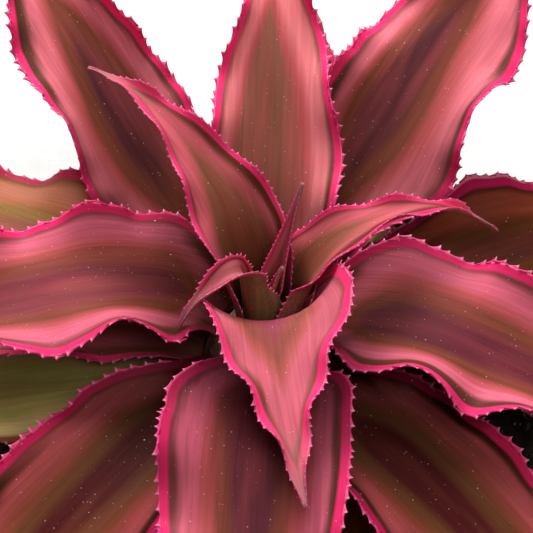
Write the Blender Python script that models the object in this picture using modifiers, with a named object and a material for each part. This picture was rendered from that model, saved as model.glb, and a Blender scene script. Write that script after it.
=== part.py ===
"""Earth star plant, lifted from its pot with its root ball.

A flat rosette of stiff, channelled, wavy-edged leaves round a short upright stem.
The stem stands in a drum of potting mix that the roots hold together.
Every leaf is its own sheet: its midrib climbs from the stem, arches over and runs out
flat, while its section opens from a clasping sheath to a shallow channel.
"""

import math
from dataclasses import dataclass

import bmesh
import bpy
import numpy as np

MM = 0.001

# Root ball: a tapered drum of potting mix, with a socket for the stem.
BALL_HEIGHT = 58
BALL_TOP_RADIUS = 78
BALL_BASE_RADIUS = 62
BALL_CROWN = 3
BALL_EDGE = 5
TURNED_STEPS = 32

# Stem: a short cone in the socket. The leaves stand round it in layers, the youngest on top.
STEM_FOOT_RADIUS = 12
STEM_NECK = 3           # drop from the lowest leaves to the bare foot
SOCKET_DEPTH = 8
CLEARANCE = 0.35

# Leaf sheets
LEAF_THICKNESS = 1.0
CELLS_ALONG = 15
MIDRIB_STEPS = 200
TIP_SHARE = 0.985       # the sheet stops just short of a needle point
WIDEST_CLASP = 150      # degrees each side
ROLL_END = 0.3          # share of the length over which a leaf takes up its roll
LEAN_END = 0.2          # and its lean
STILL_MIDDLE = 0.25     # share of the half width the ripple leaves alone
RIPPLE_START = 0.22     # shares of the length over which the ripple fades in and out
RIPPLE_END = 0.25

# Each layer of leaves: distance of the leaf feet from the axis, and their height
LAYERS = {
    "bud": (1.0, 92.0),
    "spike": (2.8, 91.0),
    "curl": (4.8, 88.5),
    "left_horn": (6.8, 86.0),
    "right_horn": (8.8, 83.5),
    "front": (10.8, 81.0),
    "middle": (12.6, 79.0),
    "outer": (14.2, 75.5),
    "outer_low": (15.6, 72.5),
    "lower": (17.0, 69.5),
    "ground": (18.2, 66.5),
}


@dataclass
class Leaf:
    """One leaf. Lengths are in millimetres and angles in degrees."""

    name: str
    layer: str
    azimuth: float                  # plan direction at the stem, anticlockwise from +X
    length: float
    width: float
    pitch: tuple                    # climb of the midrib at the foot, both bends and the tip
    bends: tuple = (0.1, 0.5)       # shares of the length where the climb changes
    lean: float = 0.0               # change of plan direction just above the foot
    turn: float = 0.0               # change of plan direction from foot to tip
    roll: float = 0.0               # positive lifts the left edge, seen from the stem
    channel: tuple = (30, 24, 40)   # half angle of the section after the sheath, at the belly and the tip
    foot: float = 0.62              # width of the foot as a share of the full width
    sheath: float = 0.2             # where along the leaf it stops clasping the stem
    skew: float = 0.0               # how far the foot leans round to the left, in half widths
    belly: float = 0.45             # where along the leaf it is widest
    point: tuple = (1.9, 1.15)      # how the outline closes to the tip
    wave: float = 4.0               # height of the ripple along the edges
    pinch: float = 0.0              # how far its crests draw the edges in
    left: tuple = (0.2, 0.5, 0.8)   # shares of the length where the left edge's ripple crests
    right: tuple = (0.35, 0.65)     # and the right edge's
    cells_across: int = 4


LEAVES = [
    # heart
    Leaf("heart_bud", "bud", 15, 17, 3.2, (88, 86, 78, 72), channel=(60, 60, 70), foot=0.6,
         belly=0.2, point=(1.0, 1.0), wave=0),
    Leaf("heart_spike", "spike", 54, 40, 8.6, (87, 79, 68, 66), channel=(66, 62, 70), foot=0.4,
         belly=0.22, point=(1.0, 1.35), wave=0),
    Leaf("heart_blade", "spike", 133, 13, 1.4, (89, 89, 89, 88), channel=(36, 50, 60), foot=0.8,
         belly=0.2, point=(1.0, 1.0), wave=0),
    Leaf("heart_curl", "curl", 209, 50, 11, (88, 86, -22, -60), bends=(0.43, 0.65), turn=9,
         channel=(104, 60, 80), sheath=0.38, skew=0.34, foot=1.7, belly=0.46, point=(0.9, 1.25), wave=0.5,
         cells_across=6),
    # inner
    Leaf("inner_left_horn", "left_horn", 120, 87, 29, (86, 72, 25, -4), bends=(0.15, 0.5), turn=32,
         channel=(90, 40, 60), sheath=0.22, skew=0.05, belly=0.28, foot=0.85, point=(1.0, 1.35), wave=1.2,
         left=(0.3, 0.48, 0.66, 0.84), right=(0.4, 0.6, 0.8), cells_across=6),
    Leaf("inner_right_horn", "right_horn", 31, 80, 24, (86, 71, 5, -46), bends=(0.16, 0.5), turn=-40,
         roll=-8, channel=(92, 40, 50), sheath=0.2, skew=-0.26, belly=0.2, foot=1.18, point=(1.0, 1.6),
         wave=1.2, left=(0.4, 0.6, 0.8), right=(0.3, 0.55, 0.8), cells_across=6),
    Leaf("inner_front", "front", 276, 80, 42.6, (88, 84, 0, -8), bends=(0.26, 0.42), turn=6,
         channel=(66, 26, 50), sheath=0.27, skew=0.36, belly=0.35, foot=0.65, point=(0.8, 1.15), wave=1.5,
         pinch=1.8, left=(0.2, 0.5, 0.7, 0.9), right=(0.4, 0.6, 0.8), cells_across=6),
    # middle
    Leaf("middle_back", "middle", 87, 112, 39.5, (55, 36, 26, 8), turn=4, foot=0.38, belly=0.24, wave=3,
         pinch=2, left=(0.16, 0.39, 0.68, 0.9), right=(0.21, 0.49, 0.76)),
    Leaf("middle_left", "middle", 155, 136, 43, (50, 31, -4, -6), bends=(0.1, 0.4), lean=38, turn=-3,
         foot=0.35, belly=0.15, point=(3.0, 1.0), wave=4.6, pinch=2, left=(0.05, 0.26, 0.5, 0.8),
         right=(0.02, 0.28, 0.5, 0.8)),
    Leaf("middle_right", "middle", 5, 134, 44, (50, 31, -8, -10), bends=(0.1, 0.4), lean=-30, turn=2,
         foot=0.38, belly=0.2, point=(3.0, 1.0), wave=4.4, pinch=2, left=(0.14, 0.4, 0.7),
         right=(0.08, 0.31, 0.5, 0.8)),
    Leaf("middle_front", "middle", 267, 128, 48, (50, 30, -6, -15), bends=(0.1, 0.4), foot=0.46, belly=0.18,
         point=(2.4, 1.1), left=(0.12, 0.42, 0.75), right=(0.06, 0.3, 0.56, 0.8)),
    # outer
    Leaf("outer_back_left", "outer", 125, 145, 44, (35, 18, 28, 3), wave=7, pinch=4, foot=0.34, belly=0.4,
         point=(1.5, 1.2), left=(0.1, 0.43, 0.84), right=(0.2, 0.64, 0.95)),
    Leaf("outer_back_right", "outer", 57, 145, 50, (40, 25, 21, 5), turn=-8, wave=7, pinch=4, foot=0.34,
         belly=0.4, left=(0.42, 0.76), right=(0.14, 0.46, 0.8)),
    Leaf("outer_front_left", "outer", 228, 136, 45.5, (24, 6, -8, -18), foot=0.36, belly=0.25,
         point=(2.6, 1.0), pinch=1, left=(0.06, 0.31, 0.56, 0.81), right=(0.05, 0.46, 0.85)),
    Leaf("outer_front_right", "outer", 312, 136, 45, (24, 6, -8, -18), foot=0.34, belly=0.27,
         point=(2.6, 1.0), wave=4.5, pinch=2, left=(0.12, 0.4, 0.72), right=(0.3, 0.6, 0.9)),
    Leaf("outer_right", "outer_low", 20, 136, 42, (30, 14, -2, -8), foot=0.4, belly=0.3, wave=6,
         left=(0.08, 0.42, 0.76), right=(0.3, 0.7)),
    Leaf("outer_left", "outer_low", 152, 136, 40, (30, 14, 2, 0), lean=6, turn=6, foot=0.4, belly=0.3, wave=5,
         left=(0.3, 0.7), right=(0.36, 0.62, 0.9)),
    # lower
    Leaf("lower_left", "lower", 171, 122, 38, (18, 6, 0, -6), turn=-10, wave=3, foot=0.38,
         left=(0.04, 0.34, 0.7), right=(0.3, 0.6)),
    Leaf("lower_right", "lower", 357, 118, 34, (12, 4, -6, -14), wave=3, foot=0.4),
    Leaf("lower_back", "lower", 84, 108, 36, (15, 10, 6, -4), wave=3, foot=0.4),
    Leaf("lower_left_green", "ground", 188, 126, 36, (4, 0, -6, -12), wave=2.5, foot=0.4),
    Leaf("lower_front", "ground", 290, 100, 32, (6, 0, -8, -16), wave=3, foot=0.4),
    Leaf("lower_back_left", "ground", 116, 104, 30, (6, 2, -4, -14), wave=3, foot=0.4),
    Leaf("lower_back_right", "ground", 62, 104, 30, (6, 0, -6, -16), wave=3, foot=0.4),
]
OLIVE_LEAVES = ("lower_left_green", "lower_right", "lower_back_left", "lower_back_right")


def eased(share, stations, values):
    """Values given at stations, joined by smooth steps."""
    share = np.asarray(share, float)
    result = np.full(share.shape, float(values[0]))
    for low, high, start, end in zip(stations, stations[1:], values, values[1:]):
        part = np.clip((share - low) / (high - low), 0, 1)
        result += (end - start) * part * part * (3 - 2 * part)
    return result


def ripple(share, crests):
    """A wave from -1 to 1 along the leaf, with its crests at the shares given."""
    before = 2 * crests[0] - crests[1]
    after = 2 * crests[-1] - crests[-2]
    turns = np.interp(share, (before, *crests, after), np.arange(-1, len(crests) + 1))
    return np.cos(2 * math.pi * turns)


def half_width(leaf, share):
    """Half the leaf's width at a share of its length."""
    swell = np.clip(share / leaf.belly, 0, 1)
    swell = leaf.foot + (1 - leaf.foot) * swell * swell * (3 - 2 * swell)
    closing = np.clip((share - leaf.belly) / (1 - leaf.belly), 0, 1)
    power, fullness = leaf.point
    return 0.5 * leaf.width * swell * (1 - closing**power) ** fullness


def section_angle(leaf, share):
    """Half angle of the leaf's section, in radians: it clasps the stem at the foot and opens out."""
    radius, _ = LAYERS[leaf.layer]
    clasp = min(0.5 * leaf.width * leaf.foot / radius, math.radians(WIDEST_CLASP))
    opened = [math.radians(angle) for angle in leaf.channel]
    return eased(share, (0, leaf.sheath, leaf.belly + 0.1, 1), [clasp, *opened])


def leaf_points(leaf, share, across):
    """Points of the leaf sheet, for shares of its length and for -1 (right edge) to 1 (left edge)."""
    steps = np.linspace(0, 1, MIDRIB_STEPS + 1)
    climb = np.radians(eased(steps, (0, *leaf.bends, 1), leaf.pitch))
    heading = np.radians(leaf.azimuth + eased(steps, (0, LEAN_END), (0, leaf.lean)) + leaf.turn * steps**2)
    along = np.stack([np.cos(climb) * np.cos(heading), np.cos(climb) * np.sin(heading), np.sin(climb)])
    path = np.cumsum(along, axis=1) * leaf.length / MIDRIB_STEPS
    start = np.radians(leaf.azimuth)
    radius, height = LAYERS[leaf.layer]
    foot = np.array([math.cos(start) * radius, math.sin(start) * radius, height])
    path = path - path[:, :1] + foot[:, None]

    def at(rows):
        return np.stack([np.interp(share, steps, row) for row in rows], axis=-1)

    centre, tangent = at(path), at(along)
    facing = np.interp(share, steps, heading)
    side = np.stack([-np.sin(facing), np.cos(facing), np.zeros_like(facing)], axis=-1)
    up = np.cross(tangent, side)
    roll = np.radians(leaf.roll) * np.clip(share / ROLL_END, 0, 1)[..., None]
    side, up = side * np.cos(roll) + up * np.sin(roll), up * np.cos(roll) - side * np.sin(roll)

    half = half_width(leaf, share)
    across = across + leaf.skew * (1 - share) ** 2 * across**2
    bend = section_angle(leaf, share)
    sideways = half * np.sin(bend * across) / bend
    raised = half * (1 - np.cos(bend * across)) / bend
    edge = np.where(across > 0, ripple(share, leaf.left), ripple(share, leaf.right))
    margin = np.clip((np.abs(across) - STILL_MIDDLE) / (1 - STILL_MIDDLE), 0, 1) ** 1.6
    fade = np.clip(share / RIPPLE_START, 0, 1) ** 2 * np.clip((1 - share) / RIPPLE_END, 0, 1)
    raised = raised + leaf.wave * margin * fade * edge
    sideways = sideways - leaf.pinch * np.sign(across) * margin * fade * (1 + edge) / 2
    return centre + side * sideways[..., None] + up * raised[..., None]


def clear_scene():
    for item in list(bpy.data.objects):
        bpy.data.objects.remove(item, do_unlink=True)


def material(name, colour, roughness):
    made = bpy.data.materials.new(name)
    made.use_nodes = True
    shader = made.node_tree.nodes["Principled BSDF"]
    shader.inputs["Base Color"].default_value = (*colour, 1)
    shader.inputs["Roughness"].default_value = roughness
    return made


def add_object(name, mesh, surface, collection):
    made = bpy.data.objects.new(name, mesh)
    mesh.materials.append(surface)
    collection.objects.link(made)
    return made


def turned(name, profile, surface, collection):
    """A solid turned about Z from a profile of (radius, height) in millimetres."""
    mesh = bpy.data.meshes.new(name)
    shape = bmesh.new()
    points = [shape.verts.new((radius * MM, 0, height * MM)) for radius, height in profile]
    for first, second in zip(points, points[1:]):
        shape.edges.new((first, second))
    shape.to_mesh(mesh)
    shape.free()
    made = add_object(name, mesh, surface, collection)
    screw = made.modifiers.new("Turn", "SCREW")
    screw.steps = TURNED_STEPS
    screw.render_steps = TURNED_STEPS
    screw.use_smooth_shade = True
    screw.use_merge_vertices = True
    screw.merge_threshold = 0.00005
    return made


def root_ball(surface, collection):
    socket = STEM_FOOT_RADIUS + CLEARANCE
    floor = BALL_HEIGHT - SOCKET_DEPTH
    profile = [
        (0, floor),
        (socket, floor),
        (socket, BALL_HEIGHT + BALL_CROWN),
        (BALL_TOP_RADIUS * 0.55, BALL_HEIGHT + BALL_CROWN * 0.6),
        (BALL_TOP_RADIUS - BALL_EDGE, BALL_HEIGHT),
        (BALL_TOP_RADIUS, BALL_HEIGHT - BALL_EDGE),
        (BALL_BASE_RADIUS + BALL_EDGE * 0.3, BALL_EDGE * 0.5),
        (BALL_BASE_RADIUS - BALL_EDGE * 0.5, 0),
        (0, 0),
    ]
    return turned("root_ball", profile, surface, collection)


def stem(surface, collection):
    """A cone running just inside the feet of every layer of leaves, and ending under the bud."""
    foot = BALL_HEIGHT - SOCKET_DEPTH + CLEARANCE
    inset = 0.5 * LEAF_THICKNESS + 2 * CLEARANCE
    sides = [(radius - inset, height) for layer, (radius, height) in LAYERS.items() if layer != "bud"]
    neck = (STEM_FOOT_RADIUS, sides[-1][1] - STEM_NECK)
    profile = [(0, sides[0][1] + CLEARANCE), *sides, neck, (STEM_FOOT_RADIUS, foot), (0, foot)]
    return turned("stem", profile, surface, collection)


def leaf_blade(leaf, surface, collection):
    """A leaf as a grid of cells laid along its sheet and given its thickness."""
    mesh = bpy.data.meshes.new(leaf.name)
    shape = bmesh.new()
    bmesh.ops.create_grid(shape, x_segments=CELLS_ALONG, y_segments=leaf.cells_across, size=1)
    grid = np.array([vertex.co for vertex in shape.verts])
    share = TIP_SHARE * (grid[:, 0] + 1) / 2
    placed = leaf_points(leaf, share, grid[:, 1]) * MM
    for vertex, place in zip(shape.verts, placed):
        vertex.co = place
    shape.to_mesh(mesh)
    shape.free()
    mesh.shade_smooth()
    made = add_object(leaf.name, mesh, surface, collection)
    thicken = made.modifiers.new("Thickness", "SOLIDIFY")
    thicken.thickness = LEAF_THICKNESS * MM
    thicken.offset = -1
    return made


def main():
    clear_scene()
    plant = bpy.data.collections.new("earth_star_plant")
    bpy.context.scene.collection.children.link(plant)
    mix = material("potting_mix", (0.03, 0.022, 0.016), 0.95)
    bark = material("stem_bark", (0.25, 0.2, 0.12), 0.8)
    rose = material("leaf_rose", (0.42, 0.075, 0.09), 0.45)
    olive = material("leaf_olive", (0.16, 0.12, 0.04), 0.45)
    root_ball(mix, plant)
    stem(bark, plant)
    for leaf in LEAVES:
        leaf_blade(leaf, olive if leaf.name in OLIVE_LEAVES else rose, plant)


main()
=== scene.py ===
"""Earth star plant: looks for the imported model.

The leaves are remade as fine sheets on the same midribs and sections as the solids, with
saw teeth along their edges. The root ball gets its crumbs, bark, perlite and roots.
Sizes are in millimetres until a point is placed, angles in degrees, colours in sRGB hex.
"""

import math
from dataclasses import dataclass

import bmesh
import bpy
import numpy as np
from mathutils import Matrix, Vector, noise


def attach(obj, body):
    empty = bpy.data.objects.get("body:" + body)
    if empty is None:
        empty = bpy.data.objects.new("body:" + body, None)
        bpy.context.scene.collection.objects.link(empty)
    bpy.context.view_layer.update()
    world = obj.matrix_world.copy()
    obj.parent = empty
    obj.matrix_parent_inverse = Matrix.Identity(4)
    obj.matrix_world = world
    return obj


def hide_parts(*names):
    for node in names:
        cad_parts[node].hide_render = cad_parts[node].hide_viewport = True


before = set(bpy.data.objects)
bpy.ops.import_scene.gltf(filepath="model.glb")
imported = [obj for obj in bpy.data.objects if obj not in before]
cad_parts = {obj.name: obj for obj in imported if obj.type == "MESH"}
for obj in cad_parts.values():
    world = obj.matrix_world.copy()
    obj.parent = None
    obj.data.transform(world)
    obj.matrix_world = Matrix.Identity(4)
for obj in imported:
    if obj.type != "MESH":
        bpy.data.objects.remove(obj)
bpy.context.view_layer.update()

MM = 0.001
BODY = "root"

# Root ball, as in the solids
BALL_HEIGHT = 58
BALL_TOP_RADIUS = 78
BALL_BASE_RADIUS = 62
BALL_CROWN = 3
BALL_EDGE = 5
BALL_FOOT = (1.5, 2.5)  # how far out and up the bevel of its lower edge goes
BALL_STEPS = 180        # round the ball
BALL_SPACING = 2.0      # between rings
RIM_STEPS = 5           # over its rounded upper edge
MIDDLE_OF_ROUND = 0.3   # how far in the middle of that edge lies, in its radii

# Wear of the ball's skin into bumps and pits
WEAR_LENGTH = 9         # of the largest of them
WEAR_OCTAVES = 4
WEAR_OUT = 0.018        # how far they move the side, as a share of its distance from the axis
WEAR_UP = 0.7           # how far they move the top
WORN_AWAY = 0.006       # what the whole side has lost, as a share too
LEAST_HEIGHT = 0.1      # of the worn skin over the flat underside

# Leaf sheets
MIDRIB_STEPS = 400
TIP_SHARE = 0.985       # the sheet stops just short of a needle point
WIDEST_CLASP = 150      # degrees each side
ROLL_END = 0.3          # share of the length over which a leaf takes up its roll
LEAN_END = 0.2          # and its lean
STILL_MIDDLE = 0.25     # share of the half width the ripple leaves alone
MARGIN_POWER = 1.6      # how much the ripple keeps to the edge
RIPPLE_START = 0.22     # shares of the length over which the ripple fades in and out
RIPPLE_END = 0.25
FRILL = 0.12            # the fine ruffles along the edges, as a share of the ripple
FRILL_LENGTHS = (1.7, 2.9)  # of edge for each radian of the two ruffles
CELL_LENGTH = 1.1       # of a fine leaf, along
CELLS_ACROSS = 18
LEAF_MIDDLE = 1.0       # thickness at the midrib and at the edge
LEAF_EDGE = 0.4

# Saw teeth
TOOTH_SPACING = 3.6
TOOTH_HEIGHT = 1.5
TOOTH_THICKNESS = 0.32
TOOTH_THINNING = 0.75   # share of its thickness that a tooth loses up to its point
TOOTH_SINK = 0.3        # how deep its root goes into the leaf, in tooth heights
TOOTH_OUTLINE = [       # (along, rise) in spacings and heights: a long concave back, a point and an undercut
    (-0.8, 0.0), (-0.56, 0.11), (-0.36, 0.25), (-0.2, 0.42), (-0.07, 0.61), (0.04, 0.82), (0.12, 1.0),
    (0.13, 0.7), (0.16, 0.42), (0.22, 0.19), (0.34, 0.05), (0.44, 0.0)]
TOOTH_SIZES = (0.55, 1.15)  # smallest and largest, as shares of the height
TOOTH_SLIDE = 0.2       # how far a tooth may lie off its even place, in spacings
TOOTH_GROWTH = ((0, 0.2, 0.7, 1), (0.6, 1, 1, 0.15))  # shares of the leaf's length, and the size there
TOOTH_SEED = 7
TOOTH_TONES = {"dark": 0.6, "olive": 0.9}   # from pink at 0 to brown at 1, by finish
EDGE_START = 0.1        # shares of the leaf's length where the teeth begin and end
EDGE_END = TIP_SHARE - 0.01
INSIDE_EDGE = 0.9       # a place across the leaf that the outward way is taken from
NEXT_ALONG = 0.003      # and the share of the length to the place that the edge's run is taken from

# Stripes of the skin
STRIPE_WIDTH = 44       # leaf width at which the stripes have their full widths
STRIPES_END = 24        # from the edge, where the last stripe ends
STRIPES_SWAY = 7.0      # how far they wander
EDGE_STRIPES_END = 6    # where the edge's own stripes end
EDGE_STRIPES_SWAY = 1.6
PATTERN_APART = 7.3     # between one leaf's grain pattern and the next leaf's
SCALES_PER_MM = 1.3
WIDEST_SCALE = 0.17     # its radius, in gaps between scales

# Each layer of leaves: distance of the leaf feet from the axis, and their height
LAYERS = {
    "bud": (1.0, 92.0),
    "spike": (2.8, 91.0),
    "curl": (4.8, 88.5),
    "left_horn": (6.8, 86.0),
    "right_horn": (8.8, 83.5),
    "front": (10.8, 81.0),
    "middle": (12.6, 79.0),
    "outer": (14.2, 75.5),
    "outer_low": (15.6, 72.5),
    "lower": (17.0, 69.5),
    "ground": (18.2, 66.5),
}


@dataclass
class Leaf:
    """One leaf, as the solids state it."""
    name: str
    layer: str
    azimuth: float                  # plan direction at the stem, anticlockwise from +X
    length: float
    width: float
    pitch: tuple                    # climb of the midrib at the foot, both bends and the tip
    bends: tuple = (0.1, 0.5)       # shares of the length where the climb changes
    lean: float = 0.0               # change of plan direction just above the foot
    turn: float = 0.0               # change of plan direction from foot to tip
    roll: float = 0.0               # positive lifts the left edge, seen from the stem
    channel: tuple = (30, 24, 40)   # half angle of the section after the sheath, at the belly and the tip
    foot: float = 0.62              # width of the foot as a share of the full width
    sheath: float = 0.2             # where along the leaf it stops clasping the stem
    skew: float = 0.0               # how far the foot leans round to the left, in half widths
    belly: float = 0.45             # where along the leaf it is widest
    point: tuple = (1.9, 1.15)      # how the outline closes to the tip
    wave: float = 4.0               # height of the ripple along the edges
    pinch: float = 0.0              # how far its crests draw the edges in
    left: tuple = (0.2, 0.5, 0.8)   # shares of the length where the left edge's ripple crests
    right: tuple = (0.35, 0.65)     # and the right edge's


LEAVES = [
    # heart
    Leaf("heart_bud", "bud", 15, 17, 3.2, (88, 86, 78, 72), channel=(60, 60, 70), foot=0.6,
         belly=0.2, point=(1.0, 1.0), wave=0),
    Leaf("heart_spike", "spike", 54, 40, 8.6, (87, 79, 68, 66), channel=(66, 62, 70), foot=0.4,
         belly=0.22, point=(1.0, 1.35), wave=0),
    Leaf("heart_blade", "spike", 133, 13, 1.4, (89, 89, 89, 88), channel=(36, 50, 60), foot=0.8,
         belly=0.2, point=(1.0, 1.0), wave=0),
    Leaf("heart_curl", "curl", 209, 50, 11, (88, 86, -22, -60), bends=(0.43, 0.65), turn=9,
         channel=(104, 60, 80), sheath=0.38, skew=0.34, foot=1.7, belly=0.46, point=(0.9, 1.25), wave=0.5),
    # inner
    Leaf("inner_left_horn", "left_horn", 120, 87, 29, (86, 72, 25, -4), bends=(0.15, 0.5), turn=32,
         channel=(90, 40, 60), sheath=0.22, skew=0.05, belly=0.28, foot=0.85, point=(1.0, 1.35), wave=1.2,
         left=(0.3, 0.48, 0.66, 0.84), right=(0.4, 0.6, 0.8)),
    Leaf("inner_right_horn", "right_horn", 31, 80, 24, (86, 71, 5, -46), bends=(0.16, 0.5), turn=-40,
         roll=-8, channel=(92, 40, 50), sheath=0.2, skew=-0.26, belly=0.2, foot=1.18, point=(1.0, 1.6),
         wave=1.2, left=(0.4, 0.6, 0.8), right=(0.3, 0.55, 0.8)),
    Leaf("inner_front", "front", 276, 80, 42.6, (88, 84, 0, -8), bends=(0.26, 0.42), turn=6,
         channel=(66, 26, 50), sheath=0.27, skew=0.36, belly=0.35, foot=0.65, point=(0.8, 1.15), wave=1.5,
         pinch=1.8, left=(0.2, 0.5, 0.7, 0.9), right=(0.4, 0.6, 0.8)),
    # middle
    Leaf("middle_back", "middle", 87, 112, 39.5, (55, 36, 26, 8), turn=4, foot=0.38, belly=0.24, wave=3,
         pinch=2, left=(0.16, 0.39, 0.68, 0.9), right=(0.21, 0.49, 0.76)),
    Leaf("middle_left", "middle", 155, 136, 43, (50, 31, -4, -6), bends=(0.1, 0.4), lean=38, turn=-3,
         foot=0.35, belly=0.15, point=(3.0, 1.0), wave=4.6, pinch=2, left=(0.05, 0.26, 0.5, 0.8),
         right=(0.02, 0.28, 0.5, 0.8)),
    Leaf("middle_right", "middle", 5, 134, 44, (50, 31, -8, -10), bends=(0.1, 0.4), lean=-30, turn=2,
         foot=0.38, belly=0.2, point=(3.0, 1.0), wave=4.4, pinch=2, left=(0.14, 0.4, 0.7),
         right=(0.08, 0.31, 0.5, 0.8)),
    Leaf("middle_front", "middle", 267, 128, 48, (50, 30, -6, -15), bends=(0.1, 0.4), foot=0.46, belly=0.18,
         point=(2.4, 1.1), left=(0.12, 0.42, 0.75), right=(0.06, 0.3, 0.56, 0.8)),
    # outer
    Leaf("outer_back_left", "outer", 125, 145, 44, (35, 18, 28, 3), wave=7, pinch=4, foot=0.34, belly=0.4,
         point=(1.5, 1.2), left=(0.1, 0.43, 0.84), right=(0.2, 0.64, 0.95)),
    Leaf("outer_back_right", "outer", 57, 145, 50, (40, 25, 21, 5), turn=-8, wave=7, pinch=4, foot=0.34,
         belly=0.4, left=(0.42, 0.76), right=(0.14, 0.46, 0.8)),
    Leaf("outer_front_left", "outer", 228, 136, 45.5, (24, 6, -8, -18), foot=0.36, belly=0.25,
         point=(2.6, 1.0), pinch=1, left=(0.06, 0.31, 0.56, 0.81), right=(0.05, 0.46, 0.85)),
    Leaf("outer_front_right", "outer", 312, 136, 45, (24, 6, -8, -18), foot=0.34, belly=0.27,
         point=(2.6, 1.0), wave=4.5, pinch=2, left=(0.12, 0.4, 0.72), right=(0.3, 0.6, 0.9)),
    Leaf("outer_right", "outer_low", 20, 136, 42, (30, 14, -2, -8), foot=0.4, belly=0.3, wave=6,
         left=(0.08, 0.42, 0.76), right=(0.3, 0.7)),
    Leaf("outer_left", "outer_low", 152, 136, 40, (30, 14, 2, 0), lean=6, turn=6, foot=0.4, belly=0.3, wave=5,
         left=(0.3, 0.7), right=(0.36, 0.62, 0.9)),
    # lower
    Leaf("lower_left", "lower", 171, 122, 38, (18, 6, 0, -6), turn=-10, wave=3, foot=0.38,
         left=(0.04, 0.34, 0.7), right=(0.3, 0.6)),
    Leaf("lower_right", "lower", 357, 118, 34, (12, 4, -6, -14), wave=3, foot=0.4),
    Leaf("lower_back", "lower", 84, 108, 36, (15, 10, 6, -4), wave=3, foot=0.4),
    Leaf("lower_left_green", "ground", 188, 126, 36, (4, 0, -6, -12), wave=2.5, foot=0.4),
    Leaf("lower_front", "ground", 290, 100, 32, (6, 0, -8, -16), wave=3, foot=0.4),
    Leaf("lower_back_left", "ground", 116, 104, 30, (6, 2, -4, -14), wave=3, foot=0.4),
    Leaf("lower_back_right", "ground", 62, 104, 30, (6, 0, -6, -16), wave=3, foot=0.4),
]

# Finish, tooth size and tooth gap of the leaves that differ from the usual
USUAL_LOOK = ("rose", 1.0, 1.0)
LOOKS = {
    "heart_bud": ("heart", 0.3, 0.4),
    "heart_spike": ("heart", 0.3, 0.45),
    "heart_blade": ("heart", 0.3, 0.6),
    "heart_curl": ("heart", 0.55, 0.5),
    "inner_left_horn": ("young", 0.55, 0.6),
    "inner_right_horn": ("turned", 0.55, 0.6),
    "inner_front": ("front", 0.85, 0.66),
    "middle_back": ("tan", 1.0, 1.0),
    "middle_front": ("dusky", 1.0, 1.0),
    "outer_back_left": ("shaded", 1.0, 1.0),
    "outer_back_right": ("shaded", 1.0, 1.0),
    "outer_right": ("dark", 0.7, 0.9),
    "outer_left": ("salmon", 1.0, 1.0),
    "outer_front_left": ("deep", 1.0, 1.0),
    "outer_front_right": ("deep", 1.0, 1.0),
    # lower_left: the paler front finish, as painted light on a leaf that lies in middle_left's shade
    "lower_left": ("front", 0.9, 1.0),
    "lower_right": ("dark", 1.0, 1.0),
    "lower_back": ("dark", 1.0, 1.0),
    "lower_left_green": ("olive", 1.0, 1.0),
    "lower_front": ("dark", 1.0, 1.0),
    "lower_back_left": ("olive", 1.0, 1.0),
    "lower_back_right": ("olive", 1.0, 1.0),
}

# How far the middle stripe lies off the midrib, from -1 at the right edge to 1 at the left edge
MIDDLE_STRIPES = {
    "outer_back_right": 0.24, "middle_back": 0.16, "outer_back_left": -0.06, "middle_right": -0.12}


def eased(share, stations, values):
    """Values given at stations, joined by smooth steps."""
    share = np.asarray(share, float)
    result = np.full(share.shape, float(values[0]))
    for low, high, start, end in zip(stations, stations[1:], values, values[1:]):
        part = np.clip((share - low) / (high - low), 0, 1)
        result += (end - start) * part * part * (3 - 2 * part)
    return result


def ripple(share, crests):
    """A wave from -1 to 1 along the leaf, with its crests at the shares given."""
    before = 2 * crests[0] - crests[1]
    after = 2 * crests[-1] - crests[-2]
    turns = np.interp(share, (before, *crests, after), np.arange(-1, len(crests) + 1))
    return np.cos(2 * math.pi * turns)


def half_width(leaf, share):
    """Half the leaf's width at a share of its length."""
    swell = np.clip(share / leaf.belly, 0, 1)
    swell = leaf.foot + (1 - leaf.foot) * swell * swell * (3 - 2 * swell)
    closing = np.clip((share - leaf.belly) / (1 - leaf.belly), 0, 1)
    power, fullness = leaf.point
    return 0.5 * leaf.width * swell * (1 - closing**power) ** fullness


def section_angle(leaf, share):
    """Half angle of the leaf's section, in radians: it clasps the stem at the foot and opens out."""
    radius, _ = LAYERS[leaf.layer]
    clasp = min(0.5 * leaf.width * leaf.foot / radius, math.radians(WIDEST_CLASP))
    opened = [math.radians(angle) for angle in leaf.channel]
    return eased(share, (0, leaf.sheath, leaf.belly + 0.1, 1), [clasp, *opened])


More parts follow.
